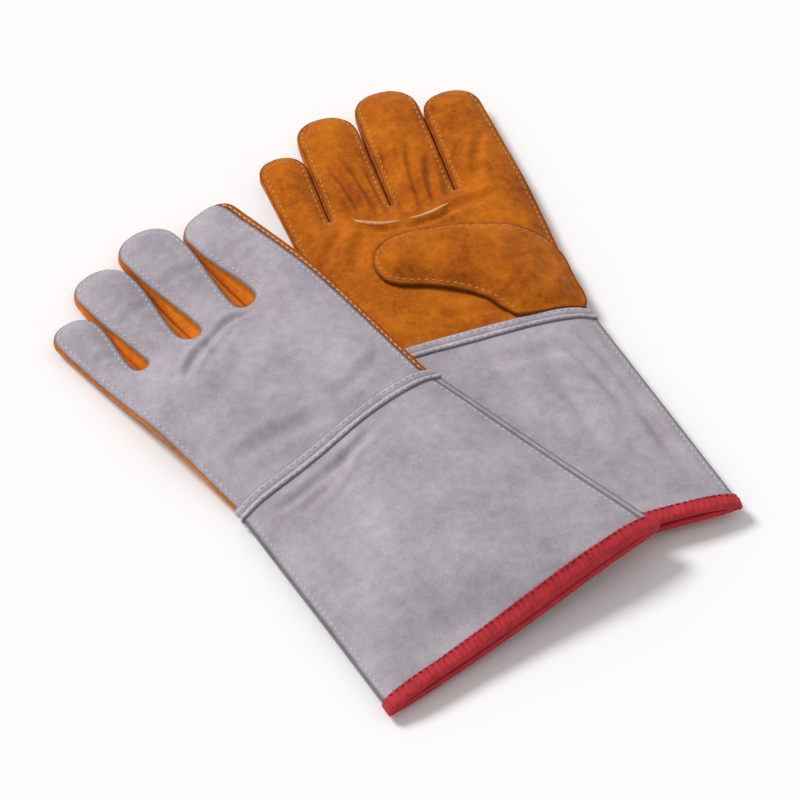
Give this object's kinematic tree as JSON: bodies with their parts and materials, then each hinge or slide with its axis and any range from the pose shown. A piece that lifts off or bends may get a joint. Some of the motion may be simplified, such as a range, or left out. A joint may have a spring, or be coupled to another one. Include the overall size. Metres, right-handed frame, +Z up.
{
  "type": "welding gloves",
  "caption": "Pair of long leather welding gauntlets laid one across the other, one back up and one palm up, with curling finger stalls, flared cuffs and bound hems.",
  "frame": {"origin": "centre of the pair in plan, at the surface that the pair lies on", "axes": "+Z up, +Y towards the fingertips along the mean of the two gloves, +X towards the palm-up right glove"},
  "size_m": [0.2918, 0.3946, 0.0359],
  "materials": {
    "grey_split_leather": "napped suede, matte",
    "golden_cowhide": "soft split cowhide, matte",
    "pale_split_leather": "raw cut split leather, matte",
    "cotton_lining": "brushed cotton fleece, matte",
    "red_binding": "ribbed woven tape, matte"
  },
  "bodies": {
    "right_hand": {"right_crotch_gussets": "golden_cowhide", "right_cuff_back": "grey_split_leather", "right_cuff_lining": "cotton_lining", "right_cuff_palm": "grey_split_leather", "right_cuff_side_welts": "pale_split_leather", "right_hand_back": "grey_split_leather", "right_hand_lining": "cotton_lining", "right_hand_palm": "golden_cowhide", "right_hand_side_welts": "pale_split_leather", "right_hem_binding": "red_binding", "right_wrist_strip": "pale_split_leather"},
    "right_index": {"right_index_back": "grey_split_leather", "right_index_fourchette": "golden_cowhide", "right_index_lining": "cotton_lining", "right_index_palm": "golden_cowhide"},
    "right_middle": {"right_middle_back": "grey_split_leather", "right_middle_fourchette": "golden_cowhide", "right_middle_lining": "cotton_lining", "right_middle_palm": "golden_cowhide"},
    "right_ring": {"right_ring_back": "grey_split_leather", "right_ring_fourchette": "golden_cowhide", "right_ring_lining": "cotton_lining", "right_ring_palm": "golden_cowhide"},
    "right_little": {"right_little_back": "grey_split_leather", "right_little_fourchette": "golden_cowhide", "right_little_lining": "cotton_lining", "right_little_palm": "golden_cowhide"},
    "right_thumb": {"right_thumb_gusset": "golden_cowhide", "right_thumb_inner": "golden_cowhide", "right_thumb_outer": "golden_cowhide"},
    "left_hand": {"left_crotch_gussets": "golden_cowhide", "left_cuff_back": "grey_split_leather", "left_cuff_lining": "cotton_lining", "left_cuff_palm": "grey_split_leather", "left_cuff_side_welts": "pale_split_leather", "left_hand_back": "grey_split_leather", "left_hand_lining": "cotton_lining", "left_hand_palm": "golden_cowhide", "left_hand_side_welts": "pale_split_leather", "left_hem_binding": "red_binding", "left_wrist_strip": "pale_split_leather"},
    "left_index": {"left_index_back": "grey_split_leather", "left_index_fourchette": "golden_cowhide", "left_index_lining": "cotton_lining", "left_index_palm": "golden_cowhide"},
    "left_middle": {"left_middle_back": "grey_split_leather", "left_middle_fourchette": "golden_cowhide", "left_middle_lining": "cotton_lining", "left_middle_palm": "golden_cowhide"},
    "left_ring": {"left_ring_back": "grey_split_leather", "left_ring_fourchette": "golden_cowhide", "left_ring_lining": "cotton_lining", "left_ring_palm": "golden_cowhide"},
    "left_little": {"left_little_back": "grey_split_leather", "left_little_fourchette": "golden_cowhide", "left_little_lining": "cotton_lining", "left_little_palm": "golden_cowhide"},
    "left_thumb": {"left_thumb_gusset": "golden_cowhide", "left_thumb_inner": "golden_cowhide", "left_thumb_outer": "golden_cowhide"}
  },
  "joints": [
    {"name": "lift", "type": "slide", "parent": "right_hand", "child": "left_hand", "axis": [0, 0, 1], "range_m": [0, 0.2]},
    {"name": "right_little_curl", "type": "hinge", "parent": "right_hand", "child": "right_little", "pos_m": [0.0135, 0.12388, 0.01816], "axis": [0.9856, -0.1693, 0], "range_deg": [0, 80]},
    {"name": "right_ring_curl", "type": "hinge", "parent": "right_hand", "child": "right_ring", "pos_m": [0.04307, 0.1188, 0.01816], "axis": [0.9856, -0.1693, 0], "range_deg": [0, 80]},
    {"name": "right_middle_curl", "type": "hinge", "parent": "right_hand", "child": "right_middle", "pos_m": [0.07904, 0.11262, 0.01816], "axis": [0.9856, -0.1693, 0], "range_deg": [0, 80]},
    {"name": "right_index_curl", "type": "hinge", "parent": "right_hand", "child": "right_index", "pos_m": [0.11748, 0.10602, 0.01816], "axis": [0.9856, -0.1693, 0], "range_deg": [0, 80]},
    {"name": "right_thumb_swing", "type": "hinge", "parent": "right_hand", "child": "right_thumb", "pos_m": [0.0889, 0.03859, 0.01816], "axis": [0, 0, 1], "range_deg": [-38, 20]},
    {"name": "left_little_curl", "type": "hinge", "parent": "left_hand", "child": "left_little", "pos_m": [-0.12617, 0.07311, 0.0054], "axis": [-0.9832, -0.1689, -0.0698], "range_deg": [0, 80]},
    {"name": "left_ring_curl", "type": "hinge", "parent": "left_hand", "child": "left_ring", "pos_m": [-0.09667, 0.07818, 0.0075], "axis": [-0.9832, -0.1689, -0.0698], "range_deg": [0, 80]},
    {"name": "left_middle_curl", "type": "hinge", "parent": "left_hand", "child": "left_middle", "pos_m": [-0.06079, 0.08435, 0.01004], "axis": [-0.9832, -0.1689, -0.0698], "range_deg": [0, 80]},
    {"name": "left_index_curl", "type": "hinge", "parent": "left_hand", "child": "left_index", "pos_m": [-0.02244, 0.09094, 0.01276], "axis": [-0.9832, -0.1689, -0.0698], "range_deg": [0, 80]},
    {"name": "left_thumb_swing", "type": "hinge", "parent": "left_hand", "child": "left_thumb", "pos_m": [-0.04181, 0.02052, 0.01546], "axis": [-0.081, 0.0604, 0.9949], "range_deg": [-38, 20]}
  ]
}
